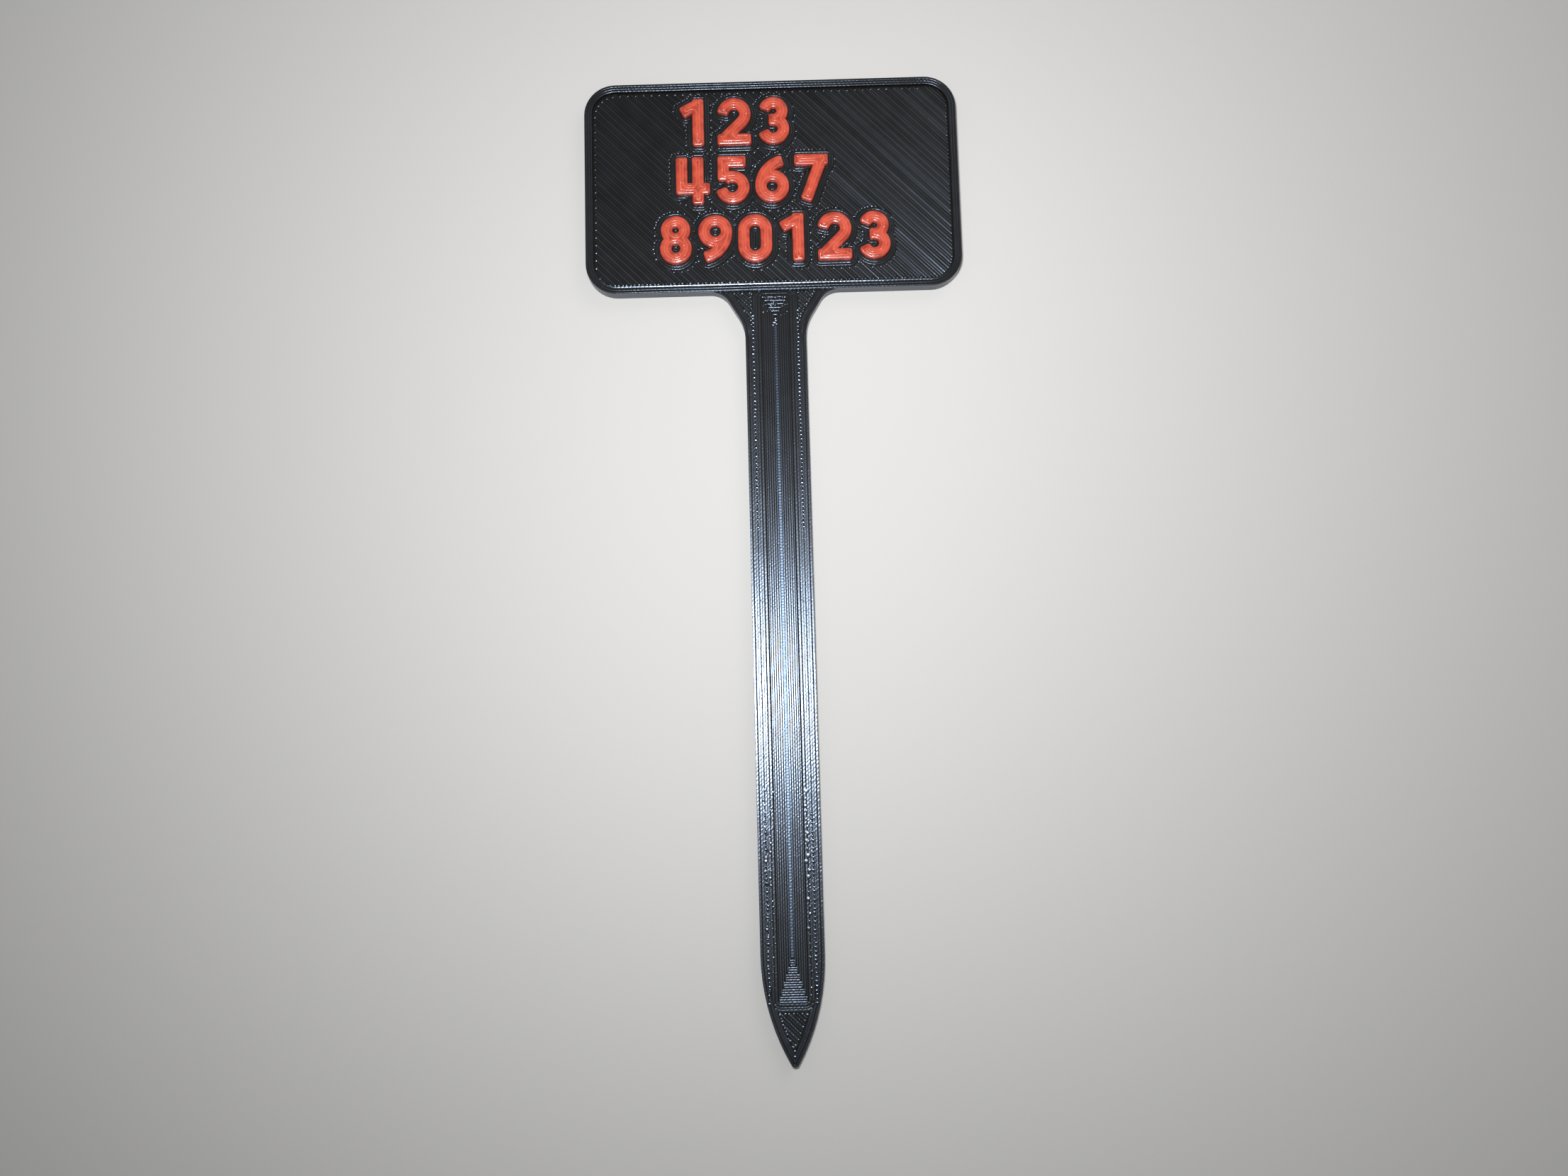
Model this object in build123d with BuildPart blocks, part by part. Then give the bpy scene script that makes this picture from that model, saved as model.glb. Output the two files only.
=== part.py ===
from build123d import *
import os
from math import acos, asin, atan2, cos, degrees, pi, sin, sqrt

# Plant label stake, printed in two colours. A black body carries a name plate with a raised rim,
# a flared neck and a long grooved spike. Raised figures are let into the plate, each its own piece.
# Millimetres. The stake lies on its back: +X is its width, +Y runs from the point to the plate and
# +Z is up, out of the written face. The origin is under the middle of its overall length and width.

# Driving dimensions of the plate
plate_width = 60.0
plate_height = 35.0
plate_corner_radius = 5.0
slab_thickness = 2.0
rim_width = 1.2
rim_height = 0.6
edge_rounding = 0.15

# Driving dimensions of the spike, from the plate's lower edge to the end of the point
spike_length = 120.0
stem_width = 9.6
point_length = 17.0
nose_radius = 0.6

# Driving dimensions of the neck, where the stem flares out to meet the plate
flare_reach = 3.5
flare_length = 5.8
flare_root_radius = 3.5
flare_foot_radius = 7.0

# Driving dimensions of the stem's groove, which steps down one printed layer at a time
layer_height = 0.2
groove_layers = 7
groove_width = 4.7
groove_floor_width = 0.5
groove_corner_radius = 0.6
groove_start_gap = 0.6
groove_end_gap = 9.2
upper_ramp_length = 3.1
lower_ramp_length = 6.4

# Driving dimensions of the raised figures
figure_height = 8.0
figure_width = 5.5
figure_gap = 0.85
figure_rise = 0.8
inlay_depth = 0.4
stroke_width = 1.9
stroke_corner_radius = 0.42
figure_edge_radius = 0.3

# Rows of figures from the top: name, figures, and the row's left margin as a share of the field
row_shares = [
    ("top_row", "123", 0.241),
    ("middle_row", "4567", 0.233),
    ("bottom_row", "890123", 0.182),
]
# Space over the top row and over each further row, as shares of the field's height left by the rows
top_margin_share = 0.175
row_gap_share = 0.215

# Places that follow from the driving dimensions
overall_length = plate_height + spike_length
plate_top = overall_length / 2
plate_bottom = plate_top - plate_height
plate_middle = plate_top - plate_height / 2
point_end = plate_bottom - spike_length
half_stem = stem_width / 2
field_width = plate_width - 2 * rim_width
field_height = plate_height - 2 * rim_width
field_left = -field_width / 2
field_top = plate_top - rim_width
seat_floor = slab_thickness - inlay_depth

# The point is two arcs, tangent to the stem's sides, that would meet at point_length from the
# shoulder. A small round nose, tangent to both, ends it a little short of that.
point_radius = (point_length**2 + half_stem**2) / stem_width
point_half_angle = asin(point_length / point_radius)
nose_reach = sqrt((point_radius - nose_radius) ** 2 - (point_radius - half_stem) ** 2)
point_shoulder = point_end + nose_radius + nose_reach

# The groove's ends at the face of the stem
groove_start = plate_bottom - groove_start_gap
groove_end = point_end + groove_end_gap
groove_steps = groove_layers - 1

# Centre lines of the figures' strokes: half their width, their height and how far a straight
# stroke runs on past them before its end is rounded
half_span = (figure_width - stroke_width) / 2
rise = figure_height - stroke_width
run_on = stroke_width / 2 - stroke_corner_radius
pen_width = 2 * run_on

# Proportions of the figures, as shares of their half width, width or height
lower_bowl_share = 0.265
upper_bowl_share = 0.5 - lower_bowl_share
middle_reach_share = 0.2
bar_height_share = 0.28
stem_place_share = 0.45
flag_reach_share = 0.42
flag_drop_share = 0.2
one_stem_share = 0.3
foot_place_share = 0.45
knee_place_share = 0.9
back_place_share = 0.8

# Where the figures' bowls and arms start and how far they turn, in degrees
two_start = 165
three_start = 155
five_start = 122
five_sweep = -282
arm_sweep = 75


def point_on(centre, radius, angle):
    """A point on a circle, with the angle in degrees from the X axis."""
    turn = angle * pi / 180
    return (centre[0] + radius * cos(turn), centre[1] + radius * sin(turn))


def bar(start, end):
    """A straight stroke between two points of its centre line, with rounded corners at its ends."""
    with BuildSketch() as stroke:
        with BuildLine() as path:
            Line(start, end)
        trace(path.line, line_width=pen_width)
        offset(amount=stroke_corner_radius)
    return stroke.sketch


def bow(centre, radius, start, sweep):
    """A curved stroke along an arc, with rounded corners at its ends."""
    inner, outer = radius - run_on, radius + run_on
    with BuildSketch() as stroke:
        with BuildLine():
            CenterArc(centre, outer, start, sweep)
            CenterArc(centre, inner, start, sweep)
            for angle in (start, start + sweep):
                Line(point_on(centre, inner, angle), point_on(centre, outer, angle))
        make_face()
        offset(amount=stroke_corner_radius)
    return stroke.sketch


def ring(centre, radius):
    """A stroke that runs round a full circle."""
    with BuildSketch() as stroke:
        with Locations(centre):
            Circle(radius + stroke_width / 2)
            Circle(radius - stroke_width / 2, mode=Mode.SUBTRACT)
    return stroke.sketch


def oval():
    """A stroke that runs round the whole figure, with straight sides."""
    inner_width = figure_width - 2 * stroke_width
    inner_height = figure_height - 2 * stroke_width
    with BuildSketch() as stroke:
        with Locations((0, rise / 2)):
            SlotOverall(figure_height, figure_width, rotation=90)
            SlotOverall(inner_height, inner_width, rotation=90, mode=Mode.SUBTRACT)
    return stroke.sketch


def strokes_of_zero():
    return [oval()]


def strokes_of_one():
    stem = one_stem_share * half_span
    flag = (stem - flag_reach_share * figure_width, rise - flag_drop_share * rise)
    return [bar((stem, -run_on), (stem, rise + run_on)), bar((stem, rise), flag)]


def strokes_of_two():
    centre = (0, rise - half_span)
    heel = (-half_span, 0)
    heel_distance = sqrt(heel[0] ** 2 + centre[1] ** 2)
    leave = degrees(atan2(-centre[1], heel[0]) + acos(half_span / heel_distance))
    return [
        bow(centre, half_span, two_start, leave - two_start),
        bar(point_on(centre, half_span, leave), heel),
        bar((-half_span - run_on, 0), (half_span + run_on, 0)),
    ]


def strokes_of_three():
    upper = upper_bowl_share * rise
    lower = lower_bowl_share * rise
    return [
        bow((0, rise - upper), upper, three_start, -90 - three_start),
        bow((0, lower), lower, 90, -90 - three_start),
        bar((0, 2 * lower), (-middle_reach_share * half_span, 2 * lower)),
    ]


def strokes_of_four():
    across = bar_height_share * rise
    stem = stem_place_share * half_span
    return [
        bar((-half_span, rise + run_on), (-half_span, across)),
        bar((-half_span - run_on, across), (half_span + run_on, across)),
        bar((stem, -run_on), (stem, rise + run_on)),
    ]


def strokes_of_five():
    back = -back_place_share * half_span
    centre = (0, half_span)
    return [
        bar((half_span, rise), (back - run_on, rise)),
        bar((back, rise), (back, point_on(centre, half_span, five_start)[1])),
        bow(centre, half_span, five_start, five_sweep),
    ]


def strokes_of_six():
    reach = rise - half_span
    return [
        ring((0, half_span), half_span),
        bow((reach - half_span, half_span), reach, 180, -arm_sweep),
    ]


def strokes_of_seven():
    foot = -foot_place_share * half_span
    lean = (half_span - foot) / sqrt((half_span - foot) ** 2 + rise**2)
    return [
        bar((-half_span - run_on, rise), (half_span + run_on, rise)),
        bar((knee_place_share * half_span, rise), (foot, -run_on * (1 - lean))),
    ]


def strokes_of_eight():
    upper = upper_bowl_share * rise
    lower = lower_bowl_share * rise
    return [ring((0, rise - upper), upper), ring((0, lower), lower)]


def strokes_of_nine():
    reach = rise - half_span
    return [
        ring((0, rise - half_span), half_span),
        bow((half_span - reach, rise - half_span), reach, 0, -arm_sweep),
    ]


figure_strokes = {
    "0": strokes_of_zero,
    "1": strokes_of_one,
    "2": strokes_of_two,
    "3": strokes_of_three,
    "4": strokes_of_four,
    "5": strokes_of_five,
    "6": strokes_of_six,
    "7": strokes_of_seven,
    "8": strokes_of_eight,
    "9": strokes_of_nine,
}


def figure_outline(symbol):
    """The outline of one figure, joined from its strokes."""
    with BuildSketch() as outline:
        for stroke in figure_strokes[symbol]():
            add(stroke)
    return outline.sketch


def figure_places():
    """Each figure's node name, symbol and the place where its centre lines start."""
    spare_height = field_height - len(row_shares) * figure_height
    row_pitch = figure_height + row_gap_share * spare_height
    top_baseline = field_top - top_margin_share * spare_height - figure_height
    places = []
    for row_count, (row, symbols, margin_share) in enumerate(row_shares):
        left = field_left + margin_share * field_width
        up = top_baseline - row_count * row_pitch + stroke_width / 2
        for count, symbol in enumerate(symbols):
            across = left + figure_width / 2 + count * (figure_width + figure_gap)
            places.append((f"{row}_figure_{count + 1}", symbol, across, up))
    return places


outlines = {symbol: figure_outline(symbol) for symbol in figure_strokes}
figures = figure_places()

# The body's outline: the plate, then one half of the neck, stem and point, mirrored
with BuildPart() as label_body:
    with BuildSketch() as outline:
        with BuildLine():
            Polyline(
                (0, plate_bottom),
                (half_stem + flare_reach, plate_bottom),
                (half_stem, plate_bottom - flare_length),
                (half_stem, point_shoulder),
            )
            CenterArc(
                (half_stem - point_radius, point_shoulder), point_radius, 0, -degrees(point_half_angle)
            )
            mirror(about=Plane.YZ)
        make_face()
        with Locations((0, plate_middle)):
            RectangleRounded(plate_width, plate_height, plate_corner_radius)
        roots = outline.vertices().group_by(Axis.Y)[3].sort_by(lambda corner: abs(corner.X))[:2]
        fillet(roots, radius=flare_root_radius)
        fillet(outline.vertices().group_by(Axis.Y)[2], radius=flare_foot_radius)
        fillet(outline.vertices().group_by(Axis.Y)[0], radius=nose_radius)
    extrude(amount=slab_thickness)

    # The rim stands round the edge of the plate, with rounded edges
    with BuildSketch(Plane.XY.offset(slab_thickness)):
        with Locations((0, plate_middle)):
            RectangleRounded(plate_width, plate_height, plate_corner_radius)
            RectangleRounded(
                field_width, field_height, plate_corner_radius - rim_width, mode=Mode.SUBTRACT
            )
    extrude(amount=rim_height)
    rim_top = label_body.faces().sort_by(Axis.Z)[-1]
    fillet(rim_top.edges(), radius=edge_rounding)

    # The groove in the stem: each layer down is narrower and shorter, which makes its ramps
    for step in range(groove_layers):
        step_share = step / groove_steps
        width = groove_width + step_share * (groove_floor_width - groove_width)
        high = groove_start - step_share * upper_ramp_length
        low = groove_end + step_share * lower_ramp_length
        depth = (step + 1) * layer_height
        with BuildSketch(Plane((0, (high + low) / 2, slab_thickness - depth))):
            RectangleRounded(width, high - low, groove_corner_radius * width / groove_width)
        extrude(amount=depth, mode=Mode.SUBTRACT)

    # Seats that the figures are let into
    with BuildSketch(Plane.XY.offset(seat_floor)):
        for _, symbol, across, up in figures:
            with Locations((across, up)):
                add(outlines[symbol])
    extrude(amount=inlay_depth, mode=Mode.SUBTRACT)

label_body.part.label = "label_body"

os.makedirs("parts", exist_ok=True)
export_step(label_body.part, "parts/label_body.step")

# The figures, each from the floor of its seat to its rounded top
for name, symbol, across, up in figures:
    with BuildPart() as figure:
        with BuildSketch(Plane((across, up, seat_floor))):
            add(outlines[symbol])
        extrude(amount=inlay_depth + figure_rise)
        figure_top = figure.faces().sort_by(Axis.Z)[-1]
        fillet(figure_top.edges(), radius=figure_edge_radius)
    figure.part.label = name
    export_step(figure.part, f"parts/{name}.step")
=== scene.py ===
"""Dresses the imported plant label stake: printed strands, finishes, a plain floor, light and a camera."""

import math

import bpy
import numpy as np
from bpy.props import FloatProperty, FloatVectorProperty, IntProperty, PointerProperty
from mathutils import Euler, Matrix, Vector


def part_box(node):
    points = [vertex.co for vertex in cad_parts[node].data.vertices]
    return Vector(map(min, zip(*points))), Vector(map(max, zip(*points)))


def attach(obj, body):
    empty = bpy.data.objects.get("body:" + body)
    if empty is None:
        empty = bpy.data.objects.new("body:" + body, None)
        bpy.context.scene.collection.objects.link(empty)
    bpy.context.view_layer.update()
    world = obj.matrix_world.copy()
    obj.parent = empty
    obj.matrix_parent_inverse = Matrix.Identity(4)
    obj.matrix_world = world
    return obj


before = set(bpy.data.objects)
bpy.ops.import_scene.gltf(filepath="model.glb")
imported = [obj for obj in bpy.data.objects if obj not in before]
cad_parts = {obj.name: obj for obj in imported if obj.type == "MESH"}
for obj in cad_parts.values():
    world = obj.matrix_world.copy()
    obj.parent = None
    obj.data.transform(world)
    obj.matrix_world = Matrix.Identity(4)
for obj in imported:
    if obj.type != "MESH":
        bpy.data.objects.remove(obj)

bl_info = {
    "name": "Plant label stake",
    "version": (1, 0, 0),
    "blender": (4, 5, 0),
    "location": "3D View > Sidebar > Label stake",
    "description": "Lays printed strands over the label stake, gives it its finishes and sets its stage",
    "category": "Object",
}

MM = 0.001
BODY = "label_body"
FIGURES = sorted(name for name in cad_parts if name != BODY)
BODY_SLOT = "black_filament"
FIGURE_SLOT = "red_filament"
UP = (0.0, 0.0, 1.0)
DOWN = (0.0, 0.0, -1.0)

# Heights and widths that the body was built with
SLAB_TOP = 2.0 * MM
RIM_WIDTH = 1.2 * MM
EDGE_ROUNDING = 0.15 * MM
SLAB_LAYERS = 10
RIM_LAYERS = 2
GROOVE_STEPS = 7
GROOVE_HALF_WIDTH = 2.35 * MM
STEM_REACH = 9 * MM

# Corners that lie nearer than this are one corner
WELD = 0.002 * MM
# How far a simplified path may leave the one that it follows
SLACK = 0.003 * MM
# Grid steps of the distance maps, and steps along the slanting lines
FINE_GRID = 0.08 * MM
STEM_GRID = 0.1 * MM
WIDE_GRID = 0.2 * MM
LINE_STEP = 0.05 * MM

# Where the photograph was taken from, and with what lens, from a fit to the outline
CAMERA_PLACE = (0.86 * MM, -40.5 * MM, 247.3 * MM)
CAMERA_TURN = (8.125, 0.367, -1.530)
CAMERA_LENS = 36.68
SENSOR_WIDTH = 36.0

# Places across a strand's crown, as shares of half its width
CROWN_SHARES = (1.0, 0.94, 0.82, 0.64, 0.36, -0.36, -0.64, -0.82, -0.94, -1.0)
# Powers that say how square a strand's crown is: 2 is round
ROUND_CROWN = 3.4
LEDGE_CROWN = 6.5
FIELD_CROWN = 2.8
FLAT_CROWN = 10.0
BEAD_CROWN = 2.2
# Feet of a strand's section: across and up, as shares
FOOT_SHARES = ((-0.75, -0.7), (0.75, -0.7))
# Stations along a strand's rounded end, as shares of half its width
END_SHARES = (0.0, 0.1, 0.4, 1.0)
END_LEAST_SHARE = 0.25
# A station behind the rounded end of a long strand, so that the end's slope shades no more of it
END_REST_SHARE = 1.25
END_CLEARANCE = 1.05
LONG_STRAND_SHARE = 3
# Least and most sizes of a knob, as shares of the size asked for
KNOB_SIZES = (0.8, 1.15)

# What each piece adds to the seed, so that its random draws are its own
SEEDS = {
    "wall_layers": 0,
    "rim_strands": 1,
    "figure_borders": 2,
    "field_fill_there": 3,
    "figure_edges": 4,
    "stem_strands": 5,
    "groove_ledges": 6,
    "stem_fill": 7,
    "groove_floor": 8,
    "groove_ramps": 9,
    "stem_beads": 12,
    "back_strands": 13,
    "figure_tops": 14,
    "figure_beads": 15,
    "field_fill_back": 23,
    "turns": 30,
}

# Heights of the ripples in the strands, of the layers up the figures' walls, and of the grain at most
RIPPLE = 0.009 * MM
STEM_RIPPLE = 0.006 * MM
SMOOTH_RIPPLE = 0.004 * MM
FIGURE_RIPPLE = 0.006 * MM
WALL_RIPPLE = 0.03 * MM
MOST_GRAIN = 0.005 * MM
# How far the ripples wander, and where in the noise they swell and how much
RIPPLE_WANDER = 1.5
RIPPLE_EDGES = (0.35, 0.7)
RIPPLE_STRENGTHS = (0.1, 1.0)
# Sizes of the patches, and where in their noise the colour and the roughness change and how much
BODY_PATCH = 3 * MM
FIGURE_PATCH = 1.2 * MM
COLOUR_EDGES = (0.35, 0.65)
ROUGHNESS_EDGES = (0.3, 0.7)
ROUGHNESS_SHARES = (0.95, 1.05)
# Weight and roughness of a skin where there is none
NO_SKIN = (0.0, 0.3)
WHITE = (1.0, 1.0, 1.0)


def metres(name, description, default):
    """A setting that is a length."""
    return FloatProperty(name=name, description=description, default=default, unit="LENGTH", precision=6)


def degrees(name, description, default):
    """A setting that is an angle, from its default in degrees."""
    return FloatProperty(name=name, description=description, default=math.radians(default), subtype="ANGLE")


def ratio(name, description, default, low=0.0, high=1.0):
    """A setting that is a plain number between two limits."""
    return FloatProperty(name=name, description=description, default=default, min=low, max=high)


def tint(name, description, default):
    """A setting that is a colour."""
    return FloatVectorProperty(name=name, description=description, default=default, subtype="COLOR", size=3)


def spot(name, description, default):
    """A setting that is a place."""
    return FloatVectorProperty(name=name, description=description, default=default, subtype="XYZ", size=3)


class PrintSettings(bpy.types.PropertyGroup):
    """Sizes of the printed strands."""

    layer_height: metres("Layer height", "Height of one printed layer", 0.2 * MM)
    border_width: metres("Border width", "Width of a strand that follows an edge", 0.4 * MM)
    fill_pitch: metres("Fill pitch", "Distance between the slanting strands that fill a face", 0.45 * MM)
    fill_share: ratio(
        "Fill share", "Width of a slanting strand, as a share of the distance to the next", 0.98, 0.1
    )
    fill_least_share: ratio(
        "Fill least share", "Width of the narrowest slanting strand, as a share of the widest", 0.56, 0.1
    )
    fill_angle: degrees("Fill angle", "Direction of the slanting strands, from the width of the plate", -45)
    proud: metres("Proud", "How far a strand's crown stands over the face that it lies in", 0.03 * MM)
    fill_proud: metres(
        "Fill proud", "How far a slanting strand's crown stands over the face that it lies in", 0.075 * MM
    )
    strand_depth: metres("Strand depth", "Half the height of a strand", 0.1 * MM)
    back_proud: metres(
        "Back proud", "How far the strands of the first layer stand out of the back", 0.003 * MM
    )
    layer_bulge: metres("Layer bulge", "How far a layer bulges out of a wall", 0.02 * MM)
    unevenness: metres("Unevenness", "How much a strand's crown rises and falls along it", 0.012 * MM)
    swell: metres("Swell", "How much the slanting strands rise and fall from patch to patch", 0.018 * MM)
    swell_size: metres("Swell size", "Distance from one raised patch to the next", 11 * MM)
    station: metres("Station", "Longest straight stretch of a strand", 1.6 * MM)
    lean: degrees("Lean", "How far a slanting strand leans to one side", 3.2)
    pair_lean: degrees("Pair lean", "How far two slanting strands side by side lean towards each other", 3.6)
    edge_lean: degrees("Edge lean", "How far the innermost strand of the rim leans towards the stem", 14.5)
    dome_lean: degrees("Dome lean", "How far the outermost strand of a figure leans outwards", 16)
    seam_width: metres("Seam width", "Width of the seam along the middle of each side of the stem", 0.08 * MM)
    edge_gap: metres(
        "Edge gap", "Width of the gap beside the strand that follows an edge of the stem", 0.12 * MM
    )
    shore_gap: metres(
        "Shore gap",
        "Width of the gap between the highest step of the groove and the wall beside it",
        0.2 * MM,
    )
    ledge_gap: metres(
        "Ledge gap",
        "Width of the gap between a strand on a step of the groove and the wall beside it",
        0.05 * MM,
    )
    ridge_pitch: metres(
        "Ridge pitch", "Distance between the ridges across the floor of the groove", 0.45 * MM
    )
    ridge_height: metres(
        "Ridge height", "Half the height of the ridges across the floor of the groove", 0.006 * MM
    )
    turn_share: ratio(
        "Turn share", "Share of the slanting strands that are laid the other way from the one before", 0.86
    )
    lean_memory: ratio("Lean memory", "How much of its lean a slanting strand takes from the one before", 0.3)
    least_fill: metres("Least fill", "Length under which no slanting strand is laid", 0.3 * MM)
    knob_length: metres("Knob length", "Length of the bead where a strand turns back", 0.44 * MM)
    knob_width: metres("Knob width", "Width of the bead where a strand turns back", 0.4 * MM)
    knob_depth: metres("Knob depth", "Half the height of the bead where a strand turns back", 0.1 * MM)
    knob_proud: metres(
        "Knob proud", "How far the bead where a strand turns back stands over its face", 0.085 * MM
    )
    bead_depth: metres(
        "Bead depth", "Half the height of a low bead that swells out of a strand of the stem", 0.032 * MM
    )
    bead_low: metres("Bead low", "Place along the label where the low beads end", -67 * MM)
    bead_high: metres("Bead high", "Place along the label where the low beads start", -36 * MM)
    calm_low: metres("Calm low", "Place along the label where the stretch of smaller knobs ends", -40 * MM)
    calm_high: metres("Calm high", "Place along the label where the stretch of smaller knobs starts", 4 * MM)
    calm_size: ratio("Calm size", "Size of the smaller knobs, as a share of the others", 0.6, 0.1)
    tucked_side: metres(
        "Tucked side",
        "Place across the label past which the knobs are tucked under the rim and look small",
        25 * MM,
    )
    tucked_size: ratio(
        "Tucked size", "Size of the knobs that are tucked away, as a share of the plain ones", 0.4, 0.1
    )
    turn_reach: metres(
        "Turn reach", "How far in from the end of a strand the knob stands where a pair turns back", 0.35 * MM
    )
    turn_size: ratio(
        "Turn size",
        "Size of the knob where a pair of strands turns back, as a share of the plain ones",
        1.35,
        1.0,
        2.0,
    )
    seam_knobs: metres("Seam knobs", "Distance between the knobs along a seam of the stem", 0.636 * MM)
    seed: IntProperty(name="Seed", description="Start of the random draws", default=7)


class FinishSettings(bpy.types.PropertyGroup):
    """Colours and gloss of the two filaments."""

    body_colour: tint("Body colour", "Colour of the black filament", (0.0095, 0.0085, 0.0072))
    body_light_colour: tint(
        "Body light colour", "Colour of the black filament where it is drawn thin", (0.0130, 0.0118, 0.0102)
    )
    body_gloss_tint: tint(
        "Body gloss tint", "Tint of the light that the black filament mirrors", (0.49, 0.685, 1.0)
    )
    body_roughness: ratio("Body roughness", "Roughness of the black filament", 0.21)
    body_gloss: ratio("Body gloss", "Refractive index of the black filament", 1.75, 1.0, 3.0)
    body_skin: ratio("Body skin", "Weight of the duller skin on the black filament", 0.45)
    body_skin_roughness: ratio(
        "Body skin roughness", "Roughness of the duller skin on the black filament", 0.277
    )
    polish_swing: ratio(
        "Polish swing",
        "How much the gloss of the field's strands differs between those laid there and back",
        0.2,
    )
    drawn_roughness: ratio(
        "Drawn roughness", "Roughness of the black filament where it is drawn along the groove's floor", 0.31
    )
    drawn_gloss: ratio(
        "Drawn gloss", "Refractive index of the black filament on the groove's floor", 1.9, 1.0, 3.0
    )
    shade_roughness: ratio("Shade roughness", "Roughness of the black filament deep between the strands", 0.6)
    shade_gloss: ratio(
        "Shade gloss", "Refractive index of the black filament deep between the strands", 1.2, 1.0, 3.0
    )
    figure_colour: tint("Figure colour", "Colour of the orange-red filament", (0.74, 0.113, 0.060))
    figure_deep_colour: tint(
        "Figure deep colour",
        "Colour of the orange-red filament where it is laid thin over the black",
        (0.66, 0.090, 0.047),
    )
    # Darker on the figures' edges and walls: partly the black showing through the thin filament, partly
    # painted shade of the rounded edges
    figure_edge_and_shade_colour: tint(
        "Figure edge colour",
        "Colour of the orange-red filament at the edges of the figures, where the black shows through",
        (0.40, 0.046, 0.026),
    )
    figure_roughness: ratio("Figure roughness", "Roughness of the orange-red filament", 0.32)
    figure_gloss: ratio("Figure gloss", "Refractive index of the orange-red filament", 1.5, 1.0, 3.0)
    figure_skin: ratio("Figure skin", "Weight of the smooth skin on the orange-red filament", 0.5)
    figure_skin_roughness: ratio(
        "Figure skin roughness", "Roughness of the smooth skin on the orange-red filament", 0.1
    )


class StageSettings(bpy.types.PropertyGroup):
    """The floor and the light."""

    floor_colour: tint("Floor colour", "Colour of the plain floor", (0.70, 0.695, 0.685))
    floor_roughness: ratio("Floor roughness", "Roughness of the plain floor", 0.55)
    floor_size: metres("Floor size", "Side of the floor", 3.0)
    lamp_place: spot("Lamp place", "Middle of the soft lamp near the camera", (-14 * MM, -1.3 * MM, 247 * MM))
    lamp_size: metres("Lamp size", "Side of the soft lamp", 28 * MM)
    lamp_spread: degrees("Lamp spread", "Angle over which the soft lamp shines", 116)
    lamp_power: FloatProperty(name="Lamp power", description="Power of the soft lamp in watts", default=0.238)
    lamp_aim: spot("Lamp aim", "Place on the floor that the soft lamp points to", (14 * MM, 57.5 * MM, 0.0))
    side_place: spot("Side lamp place", "Middle of the wide, weak lamp to one side", (0.45, 0.5, 0.55))
    side_size: metres("Side lamp size", "Side of the wide, weak lamp", 0.45)
    side_power: FloatProperty(
        name="Side lamp power", description="Power of the wide, weak lamp in watts", default=0.7
    )
    side_colour: tint("Side lamp colour", "Colour of the wide, weak lamp", (1.0, 0.93, 0.82))
    sky_colour: tint("Sky colour", "Colour of the even light from all round", (0.95, 0.97, 1.0))
    sky_strength: FloatProperty(
        name="Sky strength", description="Strength of the even light from all round", default=0.15
    )


def corner_places(node):
    """Every corner of a node's mesh, as rows of x, y and z."""
    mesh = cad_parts[node].data
    places = np.empty(len(mesh.vertices) * 3)
    mesh.vertices.foreach_get("co", places)
    return places.reshape(-1, 3)


def flat_loops(node, height):
    """The outlines of a node's level faces at one height, the longest first, as rows of x and y."""
    places = corner_places(node)
    keys = np.round(places / WELD).astype(int)
    level = np.abs(places[:, 2] - height) < WELD
    follows = {}
    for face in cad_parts[node].data.polygons:
        corners = list(face.vertices)
        if not level[corners].all():
            continue
        marks = [tuple(keys[corner]) for corner in corners]
        for first, second in zip(marks, marks[1:] + marks[:1]):
            if follows.get(second) and first in follows[second]:
                follows[second].remove(first)
            else:
                follows.setdefault(first, []).append(second)
    loops = []
    starts = [mark for mark in follows if follows[mark]]
    for start in starts:
        loop = []
        mark = start
        while follows.get(mark):
            loop.append(mark)
            mark = follows[mark].pop()
        if len(loop) > 2:
            loops.append(np.array(loop, float)[:, :2] * WELD)
    return sorted(loops, key=loop_length, reverse=True)


def loop_length(loop):
    """The length round a closed path."""
    return np.hypot(*(np.roll(loop, -1, 0) - loop).T).sum()


def outward(loop):
    """Unit normals that point out of a closed path on the level."""
    along = np.roll(loop, -1, 0) - np.roll(loop, 1, 0)
    normals = np.column_stack((along[:, 1], -along[:, 0]))
    normals /= np.linalg.norm(normals, axis=1, keepdims=True)
    ahead = np.roll(loop, -1, 0)
    turned = (loop[:, 0] * ahead[:, 1] - ahead[:, 0] * loop[:, 1]).sum()
    return normals * np.sign(turned)


def inset(loop, distance):
    """A closed path moved inwards by a distance."""
    return loop - outward(loop) * distance


def simplified(path):
    """An open path without the points that lie on nearly straight stretches."""
    keep = np.zeros(len(path), bool)
    keep[[0, -1]] = True
    spans = [(0, len(path) - 1)]
    while spans:
        first, last = spans.pop()
        if last - first < 2:
            continue
        chord = path[last] - path[first]
        offsets = path[first + 1 : last] - path[first]
        length = np.hypot(*chord)
        if length > WELD:
            away = np.abs(chord[0] * offsets[:, 1] - chord[1] * offsets[:, 0]) / length
        else:
            away = np.hypot(*offsets.T)
        if away.max() > SLACK:
            middle = first + 1 + int(away.argmax())
            keep[middle] = True
            spans += [(first, middle), (middle, last)]
    return path[keep]


def spaced(path, longest, closed):
    """A path with points added so that no stretch is longer than the given length."""
    ends = np.roll(path, -1, 0) if closed else path[1:]
    rows = []
    for start, end in zip(path, ends):
        count = max(1, math.ceil(np.hypot(*(end - start)) / longest))
        rows += [start + (end - start) * share / count for share in range(count)]
    if not closed:
        rows.append(path[-1])
    return np.array(rows)


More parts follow.
